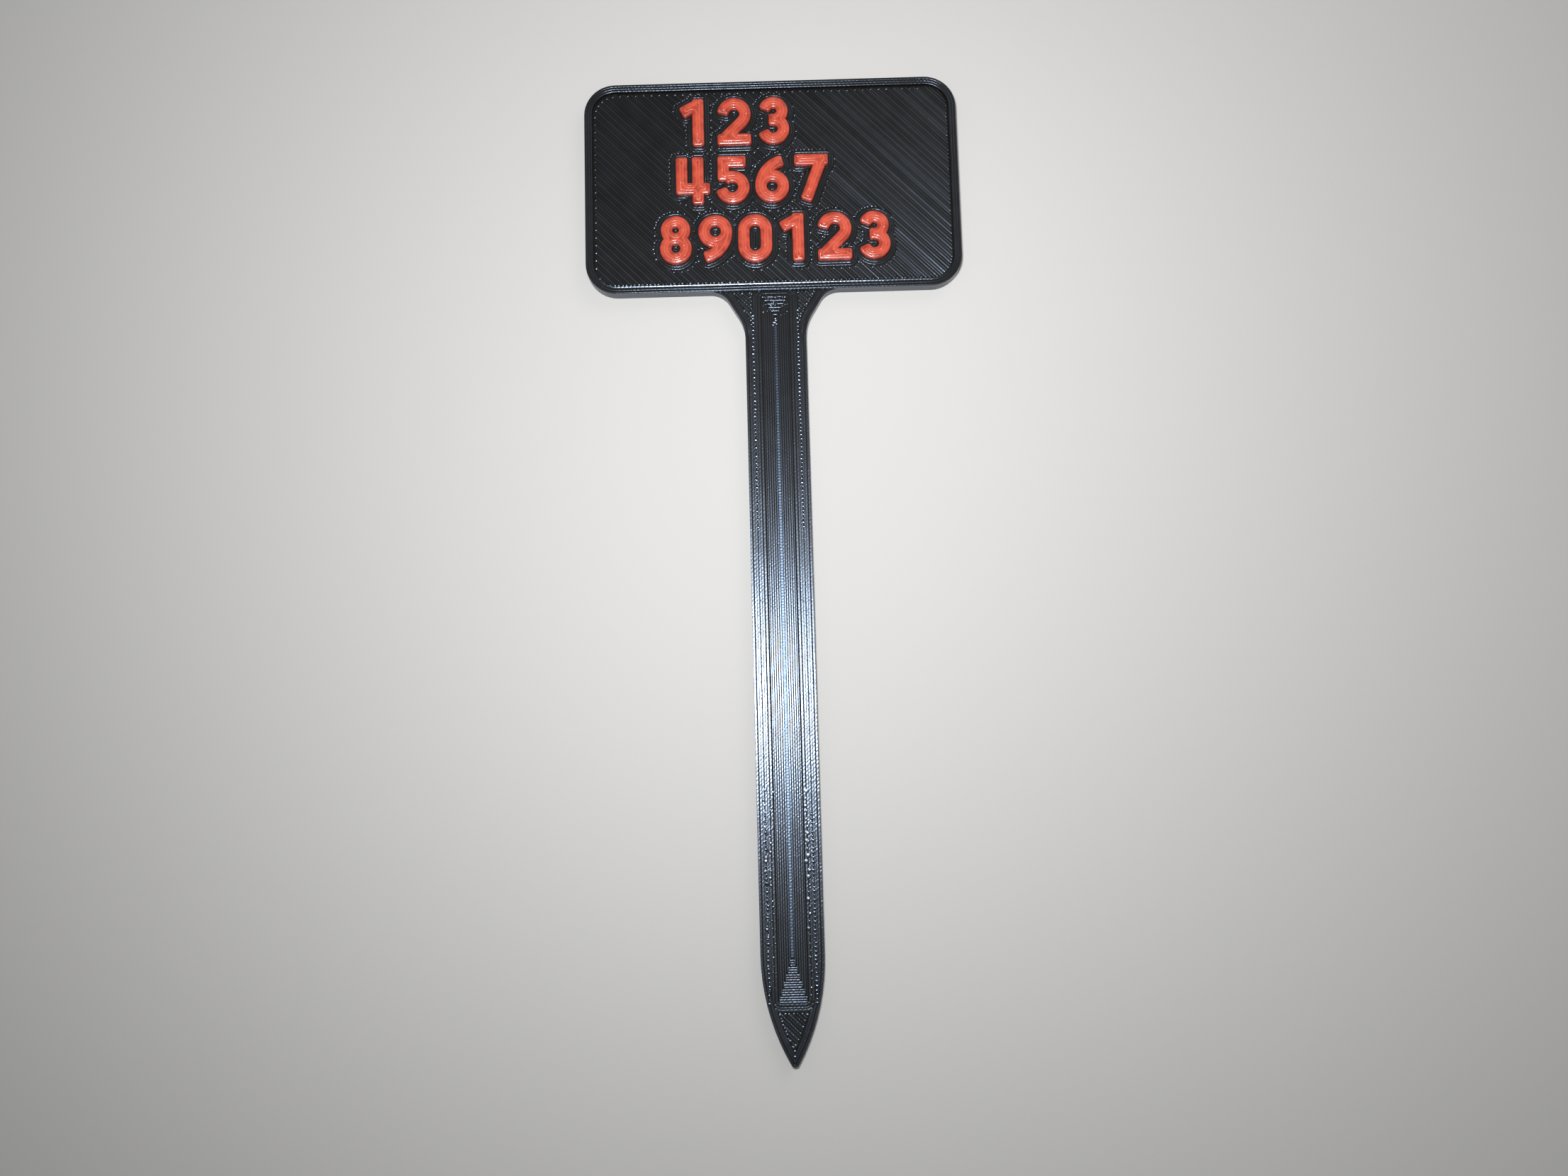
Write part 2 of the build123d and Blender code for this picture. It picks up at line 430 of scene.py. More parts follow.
def runs_where(path, kept, closed):
    """The open stretches of a path whose points are kept, and whether it is kept whole."""
    if kept.all():
        return [path], closed
    if closed:
        start = int(np.flatnonzero(~kept)[0])
        path = np.roll(path, -start, 0)
        kept = np.roll(kept, -start)
    runs = []
    run = []
    for point, wanted in zip(path, kept):
        if wanted:
            run.append(point)
        elif run:
            runs.append(np.array(run))
            run = []
    if run:
        runs.append(np.array(run))
    return [run for run in runs if len(run) > 1], False


class DistanceMap:
    """Distances from outlines on a level grid: over zero inside the shapes, under zero outside."""

    def __init__(self, low, high, step, reach):
        self.step = step
        self.reach = reach
        self.across = np.arange(low[0], high[0] + step, step)
        self.up = np.arange(low[1], high[1] + step, step)
        self.values = np.full((len(self.up), len(self.across)), -reach)

    def add(self, loops):
        """Joins a shape to the map, from its outline and the outlines of its holes."""
        points = np.vstack(loops)
        low, high = points.min(0) - self.reach, points.max(0) + self.reach
        columns = np.flatnonzero((self.across >= low[0]) & (self.across <= high[0]))
        rows = np.flatnonzero((self.up >= low[1]) & (self.up <= high[1]))
        x, y = np.meshgrid(self.across[columns], self.up[rows])
        nearest = np.full(x.shape, self.reach)
        inside = np.zeros(x.shape, bool)
        for loop in loops:
            for (start_x, start_y), (end_x, end_y) in zip(loop, np.roll(loop, -1, 0)):
                run_x, run_y = end_x - start_x, end_y - start_y
                off_x, off_y = x - start_x, y - start_y
                share = np.clip((off_x * run_x + off_y * run_y) / (run_x**2 + run_y**2), 0, 1)
                nearest = np.minimum(nearest, np.hypot(off_x - share * run_x, off_y - share * run_y))
                crossed = (start_y > y) != (end_y > y)
                if run_y:
                    inside ^= crossed & (off_x < off_y * run_x / run_y)
        block = np.ix_(rows, columns)
        self.values[block] = np.maximum(self.values[block], np.where(inside, nearest, -nearest))
        self.values[[0, -1]] = -self.reach
        self.values[:, [0, -1]] = -self.reach

    def at(self, points):
        """The distance at each point, between the grid's places."""
        column = np.clip((points[:, 0] - self.across[0]) / self.step, 0, len(self.across) - 1.001)
        row = np.clip((points[:, 1] - self.up[0]) / self.step, 0, len(self.up) - 1.001)
        left, below = column.astype(int), row.astype(int)
        right_share, above_share = column - left, row - below
        lower, upper = (
            self.values[line, left] * (1 - right_share) + self.values[line, left + 1] * right_share
            for line in (below, below + 1)
        )
        return lower * (1 - above_share) + upper * above_share

    def downhill(self, points):
        """Unit directions on the level in which the distance falls, away from the shapes."""
        step = self.step / 2
        slopes = [self.at(points + side) - self.at(points - side) for side in ((step, 0), (0, step))]
        falls = -np.column_stack(slopes)
        return falls / np.maximum(np.linalg.norm(falls, axis=1, keepdims=True), WELD * WELD)

    def crossing(self, edge, level):
        """The point on a grid edge where the distance has the given value."""
        row, column, goes_up = edge
        start = self.values[row, column]
        end = self.values[row + 1, column] if goes_up else self.values[row, column + 1]
        share = (level - start) / (end - start)
        across = self.across[column] + (0 if goes_up else share * self.step)
        return across, self.up[row] + (share * self.step if goes_up else 0)

    def contours(self, level):
        """The closed paths along which the distance has the given value."""
        over = self.values > level
        mixed = (over[:-1, :-1] != over[:-1, 1:]) | (over[1:, :-1] != over[1:, 1:])
        mixed |= over[:-1, :-1] != over[1:, :-1]
        links = {}
        for row, column in np.argwhere(mixed):
            corners = (
                (over[row, column], over[row, column + 1], (row, column, False)),
                (over[row, column + 1], over[row + 1, column + 1], (row, column + 1, True)),
                (over[row + 1, column], over[row + 1, column + 1], (row + 1, column, False)),
                (over[row, column], over[row + 1, column], (row, column, True)),
            )
            crossed = [edge for first, second, edge in corners if first != second]
            for first, second in zip(crossed[::2], crossed[1::2]):
                links.setdefault(first, []).append(second)
                links.setdefault(second, []).append(first)
        paths = []
        while links:
            edge = next(iter(links))
            loop = []
            while edge in links:
                loop.append(self.crossing(edge, level))
                ahead = [other for other in links.pop(edge) if other in links]
                edge = ahead[0] if ahead else None
            loop.append(loop[0])
            path = simplified(np.array(loop))[:-1]
            if len(path) > 3:
                paths.append(path)
        return paths


class Strands:
    """Collects closed strands of filament that become one piece."""

    def __init__(self, name, settings, power=ROUND_CROWN):
        self.name = name
        self.settings = settings
        self.draws = np.random.default_rng(settings.seed + SEEDS[name])
        self.corners = []
        self.faces = []
        self.total = 0
        ups = [(1 - abs(across) ** power) ** (1 / power) for across in CROWN_SHARES]
        self.section = np.array([*zip(CROWN_SHARES, ups), *FOOT_SHARES])

    def uneven(self, count, amount):
        """Heights that wander along a strand."""
        steps = self.draws.normal(0, 1, count + 2)
        return amount * (steps[:-2] + steps[1:-1] + steps[2:]) / 3

    def add(self, path, lift, width, depth, closed=False):
        """Adds a strand along the path of its middle, with its crown facing where lift points."""
        path = np.asarray(path, float)
        lift = np.broadcast_to(np.asarray(lift, float), path.shape)
        if closed:
            scale = np.ones(len(path))
            along = np.roll(path, -1, 0) - np.roll(path, 1, 0)
        else:
            path, lift, scale = self.rounded_ends(path, lift, width)
            along = np.gradient(path, axis=0)
        side = np.cross(along, lift)
        side /= np.linalg.norm(side, axis=1, keepdims=True)
        across = side[:, None] * self.section[:, 0, None] * width / 2
        rise = lift[:, None] * self.section[:, 1, None] * depth
        rings = path[:, None] + (across + rise) * scale[:, None, None]
        self.join_rings(rings, closed)

    def rounded_ends(self, path, lift, width):
        """Stations of an open strand whose ends round off, with the scale of each."""
        lengths = np.linalg.norm(np.diff(path, axis=0), axis=1)
        places = np.concatenate(([0], np.cumsum(lengths)))
        total = places[-1]
        nose = min(width / 2, total / 2)
        ends = np.array(END_SHARES) * nose
        rest = nose * END_REST_SHARE if total > nose * LONG_STRAND_SHARE else nose
        clear = rest * END_CLEARANCE
        inner = places[(places > clear) & (places < total - clear)]
        stations = np.unique(np.round(np.concatenate((ends, [rest], inner, [total - rest], total - ends)), 9))
        path = np.column_stack([np.interp(stations, places, path[:, axis]) for axis in range(3)])
        lift = np.column_stack([np.interp(stations, places, lift[:, axis]) for axis in range(3)])
        from_end = np.minimum(stations, total - stations)
        short = 1 - np.minimum(from_end / nose, 1)
        return path, lift, np.maximum(np.sqrt(np.maximum(1 - short**2, 0)), END_LEAST_SHARE)

    def join_rings(self, rings, closed):
        """Skins a row of sections, with a cap at each end of an open one."""
        count, around = rings.shape[:2]
        start = self.total + np.arange(count)[:, None] * around + np.arange(around)[None, :]
        near = start if closed else start[:-1]
        far = np.roll(start, -1, 0) if closed else start[1:]
        quads = np.stack((near, far, np.roll(far, -1, 1), np.roll(near, -1, 1)), axis=-1)
        self.faces += quads.reshape(-1, 4).tolist()
        if not closed:
            self.faces.append(start[0].tolist())
            self.faces.append(start[-1][::-1].tolist())
        self.corners.append(rings.reshape(-1, 3))
        self.total += count * around

    def piece(self, material, slot=BODY_SLOT):
        """Makes the mesh, gives it its finish and lets it ride on the label."""
        mesh = bpy.data.meshes.new(self.name)
        mesh.from_pydata(np.vstack(self.corners).tolist(), [], self.faces)
        mesh.polygons.foreach_set("use_smooth", [len(face) == 4 for face in self.faces])
        mesh.materials.append(material)
        piece = bpy.data.objects.new(self.name, mesh)
        bpy.context.scene.collection.objects.link(piece)
        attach(piece, "root")


class Swell:
    """Patches in which the strands stand higher, as heights from about -1 to 1 over the level."""

    waves = 7
    lengths = (0.6, 1.8)
    gain = 1.6

    def __init__(self, seed, size):
        draws = np.random.default_rng(seed)
        turns = draws.uniform(0, 2 * math.pi, self.waves)
        lengths = size * draws.uniform(*self.lengths, self.waves)
        self.rates = 2 * math.pi * np.column_stack((np.cos(turns), np.sin(turns))) / lengths[:, None]
        self.starts = draws.uniform(0, 2 * math.pi, self.waves)

    def at(self, points):
        """The height at each point."""
        return np.sin(points @ self.rates.T + self.starts).sum(axis=1) * self.gain / self.waves


def lay_level(strands, path, height, width, closed=False, lean=0.0, towards=None, swell=None):
    """Lays a strand on a level face, a little proud and uneven, leaning towards one side."""
    settings = strands.settings
    path = spaced(path, settings.station, closed)
    heights = height + settings.proud - settings.strand_depth + strands.uneven(len(path), settings.unevenness)
    if swell:
        heights += swell.at(path) * settings.swell
    lift = np.tile(UP, (len(path), 1))
    if towards is not None:
        lift[:, :2] = towards(path) * math.sin(lean)
        lift[:, 2] = math.cos(lean)
    strands.add(np.column_stack((path, heights)), lift, width, settings.strand_depth, closed)


def lay_knob(strands, place, along, height, size=1.0, depth=None):
    """A small raised bead of filament where the nozzle turns back, or a low one if its depth is given."""
    settings = strands.settings
    size = size * strands.draws.uniform(*KNOB_SIZES)
    half = np.asarray(along) * settings.knob_length / 2 * size
    proud = settings.knob_proud * size if depth is None else settings.proud + depth
    depth = depth or settings.knob_depth
    ends = np.array((place - half, place, place + half))
    path = np.column_stack((ends, np.full(3, height + proud - depth)))
    strands.add(path, UP, settings.knob_width * size, depth)


def lay_fill(ways, lines, kept_where, height, swell):
    """Lays slanting strands where they are kept, with a larger knob where each pair turns back."""
    settings = ways[0].settings
    drift = 0.0
    turns = 0
    order = np.random.default_rng(settings.seed + SEEDS["turns"])
    raised = height + settings.fill_proud - settings.proud
    widest = settings.fill_pitch * settings.fill_share
    for count, line in enumerate(lines):
        turns += 1 if order.random() < settings.turn_share else 2
        strands = ways[turns % len(ways)]
        drift = drift * settings.lean_memory + strands.draws.normal(0, settings.lean)
        paired = settings.pair_lean if count % 2 else -settings.pair_lean
        for run in runs_where(line, kept_where(line), False)[0]:
            ends = run[[0, -1]]
            reach = ends[1] - ends[0]
            length = np.hypot(*reach)
            if length < settings.least_fill:
                continue
            along = reach / length
            beside = np.array((-along[1], along[0]))
            width = widest * strands.draws.uniform(settings.fill_least_share, 1.0)
            lean = drift + paired + strands.draws.normal(0, settings.lean / 2)
            lay_level(strands, ends, raised, width, lean=lean, towards=lambda path: beside, swell=swell)
            for end, place in enumerate(ends):
                tucked = (count + end) % 2 or place[0] > settings.tucked_side
                size = settings.tucked_size if tucked else settings.turn_size
                inward = along * min(settings.turn_reach, length / 3) * (1 - 2 * end)
                lay_knob(strands, place + inward, along, height, size)


def fill_lines(low, high, pitch, angle, step=LINE_STEP):
    """Slanting rows of points, close together, that cover a box on the level."""
    along = np.array((math.cos(angle), math.sin(angle)))
    beside = np.array((-along[1], along[0]))
    middle = (np.array(low) + np.array(high)) / 2
    reach = np.hypot(*(np.array(high) - np.array(low))) / 2
    places = np.arange(-reach, reach, step)
    for count in range(-int(reach / pitch), int(reach / pitch) + 1):
        yield middle + beside * count * pitch + along * places[:, None]


def node_group(name, inputs, outputs):
    """An empty shader node group with named number sockets, and its ends."""
    group = bpy.data.node_groups.new(name, "ShaderNodeTree")
    for title, value in inputs.items():
        socket = group.interface.new_socket(title, in_out="INPUT", socket_type="NodeSocketFloat")
        socket.default_value = value
    for title in outputs:
        group.interface.new_socket(title, in_out="OUTPUT", socket_type="NodeSocketFloat")
    return group, group.nodes.new("NodeGroupInput").outputs, group.nodes.new("NodeGroupOutput").inputs


def maths(tree, operation, *values):
    """A maths node whose inputs are numbers or sockets."""
    node = tree.nodes.new("ShaderNodeMath")
    node.operation = operation
    for place, value in enumerate(values):
        if isinstance(value, (int, float)):
            node.inputs[place].default_value = value
        else:
            tree.links.new(value, node.inputs[place])
    return node.outputs[0]


def ranged(tree, source, between, onto=(0.0, 1.0)):
    """Spreads a value between two limits over two others."""
    node = tree.nodes.new("ShaderNodeMapRange")
    tree.links.new(source, node.inputs["Value"])
    for name, value in zip(("From Min", "From Max", "To Min", "To Max"), (*between, *onto)):
        node.inputs[name].default_value = value
    return node.outputs["Result"]


def apart(tree, vector):
    """The three parts of a vector."""
    node = tree.nodes.new("ShaderNodeSeparateXYZ")
    tree.links.new(vector, node.inputs["Vector"])
    return node.outputs


def noise(tree, place, size, detail):
    """Noise over a place, with patches of a given size."""
    node = tree.nodes.new("ShaderNodeTexNoise")
    node.inputs["Detail"].default_value = detail
    tree.links.new(maths(tree, "DIVIDE", 1.0, size), node.inputs["Scale"])
    tree.links.new(place, node.inputs["Vector"])
    return node.outputs["Fac"]


def bumped(tree, height, distance, normal=None):
    """A normal tilted by the slopes of a height."""
    node = tree.nodes.new("ShaderNodeBump")
    node.inputs["Distance"].default_value = distance
    tree.links.new(height, node.inputs["Height"])
    if normal:
        tree.links.new(normal, node.inputs["Normal"])
    return node.outputs["Normal"]


def drawn_filament_group():
    """Faint patches and fine grain of molten filament as it is drawn out and cools."""
    sizes = {"Patch size": BODY_PATCH, "Grain size": 0.3 * MM}
    group, entry, leave = node_group("Drawn filament", sizes, ("Patches", "Grain"))
    place = group.nodes.new("ShaderNodeTexCoord").outputs["Object"]
    for size, output, detail in (("Patch size", "Patches", 3.0), ("Grain size", "Grain", 2.0)):
        group.links.new(noise(group, place, entry[size], detail), leave[output])
    return group


def under_layer_group():
    """Ripples in a strand from the strands that cross under it, strong in some places and weak in others."""
    sizes = {"Pitch": 0.45 * MM, "Patch size": 1 * MM}
    group, entry, leave = node_group("Under layer", sizes, ("Height",))
    place = group.nodes.new("ShaderNodeTexCoord").outputs["Object"]
    parts = apart(group, place)
    across = maths(group, "SUBTRACT", parts["X"], parts["Y"])
    turns = maths(group, "DIVIDE", across, maths(group, "MULTIPLY", entry["Pitch"], math.sqrt(2)))
    patches = noise(group, place, entry["Patch size"], 2.0)
    turns = maths(group, "ADD", turns, maths(group, "MULTIPLY", patches, RIPPLE_WANDER))
    wave = maths(group, "SINE", maths(group, "MULTIPLY", turns, 2 * math.pi))
    strength = ranged(group, patches, RIPPLE_EDGES, RIPPLE_STRENGTHS)
    group.links.new(maths(group, "MULTIPLY", wave, strength), leave["Height"])
    return group


def layer_lines_group():
    """Round layers stacked up a wall, as a height that is even on level faces."""
    group, entry, leave = node_group("Layer lines", {"Layer height": 0.2 * MM}, ("Height",))
    place = group.nodes.new("ShaderNodeTexCoord").outputs
    layers = maths(group, "DIVIDE", apart(group, place["Object"])["Z"], entry["Layer height"])
    middle = maths(group, "SUBTRACT", maths(group, "FRACT", layers), 0.5)
    bulge = maths(group, "SUBTRACT", 1.0, maths(group, "POWER", maths(group, "MULTIPLY", middle, 2.0), 2.0))
    upright = maths(group, "SUBTRACT", 1.0, maths(group, "ABSOLUTE", apart(group, place["Normal"])["Z"]))
    group.links.new(maths(group, "MULTIPLY", bulge, upright), leave["Height"])
    return group


def placed_group(tree, maker, **values):
    """Places a shared node group, made the first time that a material asks for it, with its own values."""
    if maker not in placed_group.made:
        placed_group.made[maker] = maker()
    node = tree.nodes.new("ShaderNodeGroup")
    node.node_tree = placed_group.made[maker]
    for name, value in values.items():
        node.inputs[name.replace("_", " ")].default_value = value
    return node.outputs


placed_group.made = {}


def new_material(name):
    """A new material, its node tree and the inputs of its shader."""
    material = bpy.data.materials.new(name)
    material.use_nodes = True
    tree = material.node_tree
    return material, tree, tree.nodes["Principled BSDF"].inputs


def filament_colour(tree, inputs, patches, deep, light):
    """Colours a filament deep in some patches and light in others."""
    colour = tree.nodes.new("ShaderNodeMix")
    colour.data_type = "RGBA"
    colour.inputs["A"].default_value = (*deep, 1.0)
    colour.inputs["B"].default_value = (*light, 1.0)
    tree.links.new(ranged(tree, patches, COLOUR_EDGES), colour.inputs["Factor"])
    tree.links.new(colour.outputs["Result"], inputs["Base Color"])


def filament_material(name, colours, gloss, skin, patch_size, ripple, layered=False):
    """A glossy printed filament, with faint patches, fine grain, and ripples or stacked layers."""
    if name in bpy.data.materials:
        return bpy.data.materials[name]
    material, tree, inputs = new_material(name)
    drawn = placed_group(tree, drawn_filament_group, Patch_size=patch_size)
    filament_colour(tree, inputs, drawn["Patches"], *colours)
    roughness, inputs["IOR"].default_value, mirrored = gloss
    limits = [roughness * share for share in ROUGHNESS_SHARES]
    tree.links.new(ranged(tree, drawn["Patches"], ROUGHNESS_EDGES, limits), inputs["Roughness"])
    inputs["Specular Tint"].default_value = (*mirrored, 1.0)
    inputs["Coat Weight"].default_value, inputs["Coat Roughness"].default_value = skin
    ripples = placed_group(tree, layer_lines_group if layered else under_layer_group)
    rippled = bumped(tree, ripples["Height"], ripple)
    grained = bumped(tree, drawn["Grain"], min(ripple / 2, MOST_GRAIN), rippled)
    tree.links.new(grained, inputs["Normal"])
    return material


def body_colours():
    """The black filament's deep and light colours."""
    finish = bpy.context.scene.label_finish
    return finish.body_colour, finish.body_light_colour


def body_material(name="black_filament_strands", ripple=RIPPLE, polish=1.0):
    """The black filament of the strands over the body, polished more or less."""
    finish = bpy.context.scene.label_finish
    gloss = (finish.body_roughness, 1 + (finish.body_gloss - 1) * polish, finish.body_gloss_tint)
    skin = (finish.body_skin * polish, finish.body_skin_roughness)
    return filament_material(name, body_colours(), gloss, skin, BODY_PATCH, ripple)


def smooth_material():
    """The black filament of long strands that lie on a smooth layer."""
    return body_material("black_filament_smooth", SMOOTH_RIPPLE)


def field_materials():
    """The black filament of the field's strands, those laid one way glossier than those laid back."""
    swing = bpy.context.scene.label_finish.polish_swing
    sides = (("black_filament_there", 1), ("black_filament_back", -1))
    return [body_material(name, SMOOTH_RIPPLE, 1 + side * swing) for name, side in sides]


def drawn_material():
    """The black filament on the groove's floor, drawn out along it."""
    finish = bpy.context.scene.label_finish
    name = "black_filament_drawn"
    gloss = (finish.drawn_roughness, finish.drawn_gloss, finish.body_gloss_tint)
    return filament_material(name, body_colours(), gloss, NO_SKIN, BODY_PATCH, SMOOTH_RIPPLE)


def figure_material(name, deep=False, layered=False):
    """The orange-red filament of the figures, layered on walls, and darker on edges and walls, partly where
    the black shows through and partly as painted shade.
    """
    finish = bpy.context.scene.label_finish
    colours = (finish.figure_deep_colour, finish.figure_colour)
    # The darker colours on edges and walls are partly the black showing through and partly painted shade
    if deep:
        colours = (finish.figure_edge_and_shade_colour, finish.figure_deep_colour)
    gloss = (finish.figure_roughness, finish.figure_gloss, WHITE)
    skin = (finish.figure_skin, finish.figure_skin_roughness)
    ripple = WALL_RIPPLE if layered else FIGURE_RIPPLE
    return filament_material(name, colours, gloss, skin, FIGURE_PATCH, ripple, layered)


def shade_material():
    """The black filament deep between the strands, which catches little light."""
    finish = bpy.context.scene.label_finish
    material, tree, inputs = new_material("black_filament_shade")
    filament_colour(tree, inputs, placed_group(tree, drawn_filament_group)["Patches"], *body_colours())
    inputs["Roughness"].default_value = finish.shade_roughness
    inputs["IOR"].default_value = finish.shade_gloss
    return material


def dress(node, material):
    """Gives every material slot of a solid its finish."""
    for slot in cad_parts[node].material_slots:
        slot.material = material


def plate_outline():
    """The outline of the plate, from the top of its rim, whose edge is rounded."""
    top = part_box(BODY)[1].z
    return inset(flat_loops(BODY, top)[0], -EDGE_ROUNDING)


class LABEL_OT_finishes(bpy.types.Operator):
    """Give the body and the figures their printed finishes"""

    bl_idname = "label.finishes"
    bl_label = "Finishes"

    def execute(self, context):
        dress(BODY, shade_material())
        for node in FIGURES:
            # The figures' walls take the darker colour: partly the black showing through, partly painted
            # shade
            dress(node, figure_material("red_filament_thin_walls_and_shade", deep=True, layered=True))
        return {"FINISHED"}


class LABEL_OT_wall_layers(bpy.types.Operator):
    """Stack the printed layers up the walls of the body"""

    bl_idname = "label.wall_layers"
    bl_label = "Wall layers"

    bulges = (0.7, 1.0)

    def execute(self, context):
        settings = context.scene.label_print
        layer = settings.layer_height
        depth = settings.strand_depth / 2
        strands = Strands("wall_layers", settings)
        plate = plate_outline()
        stacks = (
            (flat_loops(BODY, 0.0)[0], 0, SLAB_LAYERS, 1),
            (plate, SLAB_LAYERS, RIM_LAYERS, 1),
            (inset(plate, RIM_WIDTH), SLAB_LAYERS, RIM_LAYERS, -1),
        )
        for loop, first, count, facing in stacks:
            lift = np.column_stack((outward(loop) * facing, np.zeros(len(loop))))
            for step in range(first, first + count):
                height = np.full(len(loop), (step + 0.5) * layer)
                bulge = settings.layer_bulge * strands.draws.uniform(*self.bulges)
                path = np.column_stack((loop, height)) + lift * (bulge - depth)
                strands.add(path, lift, layer, depth, closed=True)
        strands.piece(body_material())
        return {"FINISHED"}


class LABEL_OT_rim_strands(bpy.types.Operator):
    """Lay the strands that run round the top of the rim"""

    bl_idname = "label.rim_strands"
    bl_label = "Rim strands"

    # Leans of the strands from the outermost in, and how much of them the plate's far edge keeps
    leans = (-0.6, -0.3, 1.0)
    far_share = 0.35

    def stemward(self, path):
        """Directions across a strand, as far as they point to the stem, shorter on the plate's far edge."""
        normals = outward(path)
        return -normals * normals[:, 1:] * np.where(normals[:, 1:] > 0, self.far_share, 1.0)

    def execute(self, context):
        settings = context.scene.label_print
        strands = Strands("rim_strands", settings)
        plate = plate_outline()
        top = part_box(BODY)[1].z
        width = settings.border_width
        for count, share in enumerate(self.leans):
            path = inset(plate, (count + 0.5) * width)
            lean = share * settings.edge_lean
            lay_level(strands, path, top, width, closed=True, lean=lean, towards=self.stemward)
        strands.piece(body_material())
        return {"FINISHED"}


def figures_map(reach):
    """Distances from the figures, over the whole field."""
    loops = {node: flat_loops(node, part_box(node)[0].z) for node in FIGURES}
    points = np.vstack([loop for group in loops.values() for loop in group])
    distances = DistanceMap(points.min(0) - reach, points.max(0) + reach, FINE_GRID, reach)
    for group in loops.values():
        distances.add(group)
    return distances


class LABEL_OT_field_strands(bpy.types.Operator):
    """Lay the black borders round the figures and the slanting strands that fill the field"""

    bl_idname = "label.field_strands"
    bl_label = "Field strands"

    # Borders round each figure, and where the first one runs and the fill stops, in widths of a border
    borders = 2
    first_border = 0.52
    clearance = 0.1

    def execute(self, context):
        settings = context.scene.label_print
        width = settings.border_width
        figures = figures_map(reach=2.5 * MM)
        borders = Strands("figure_borders", settings)
        for count in range(self.borders):
            for path in figures.contours(-(count + self.first_border) * width):
                lay_level(borders, path, SLAB_TOP, width, closed=True)
        borders.piece(body_material())

        field = inset(plate_outline(), RIM_WIDTH)
        low, high = field.min(0), field.max(0)
        room = DistanceMap(low, high, WIDE_GRID, reach=1 * MM)
        room.add([field])
        clear = (self.borders + self.clearance) * width

        def kept_where(line):
            kept = (room.at(line) > width / 4) & (figures.at(line) < -clear)
            return kept & ((line > low) & (line < high)).all(axis=1)

        ways = [Strands(name, settings, FIELD_CROWN) for name in ("field_fill_there", "field_fill_back")]
        lines = fill_lines(low, high, settings.fill_pitch, settings.fill_angle)
        lay_fill(ways, lines, kept_where, SLAB_TOP, Swell(settings.seed, settings.swell_size))
        for fill, material in zip(ways, field_materials()):
            fill.piece(material)
        return {"FINISHED"}


class LABEL_OT_figure_strands(bpy.types.Operator):
    """Lay the orange-red strands that run round the tops of the figures, and the beads on them"""

    bl_idname = "label.figure_strands"
    bl_label = "Figure strands"

    edge_inset = 0.34 * MM
    top_inset = 0.74 * MM
    beads_each = 7
    bead_sizes = (0.5, 0.95)

    def execute(self, context):
        settings = context.scene.label_print
        figures = figures_map(reach=1.5 * MM)
        width = settings.border_width
        lean = settings.dome_lean
        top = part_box(FIGURES[0])[1].z
        # The outermost ring takes the darker colour: partly the black showing through, partly painted shade
        # of the rounded edge
        deep = figure_material("red_filament_thin_edges_and_shade", deep=True)
        pale = figure_material("red_filament_strands")
        rings = (
            ("figure_edges", self.edge_inset, top - settings.proud, lean, deep),
            ("figure_tops", self.top_inset, top, lean / 3, pale),
        )
        for name, distance, height, lean, material in rings:
            strands = Strands(name, settings)
            for path in figures.contours(distance):
                lay_level(strands, path, height, width, closed=True, lean=lean, towards=figures.downhill)
            strands.piece(material, FIGURE_SLOT)
        beads = Strands("figure_beads", settings)
        for path in figures.contours(self.top_inset):
            for place in beads.draws.integers(len(path), size=self.beads_each):
                along = path[(place + 1) % len(path)] - path[place]
                size = beads.draws.uniform(*self.bead_sizes)
                lay_knob(beads, path[place], along / np.hypot(*along), top, size)
        beads.piece(pale, FIGURE_SLOT)
        return {"FINISHED"}


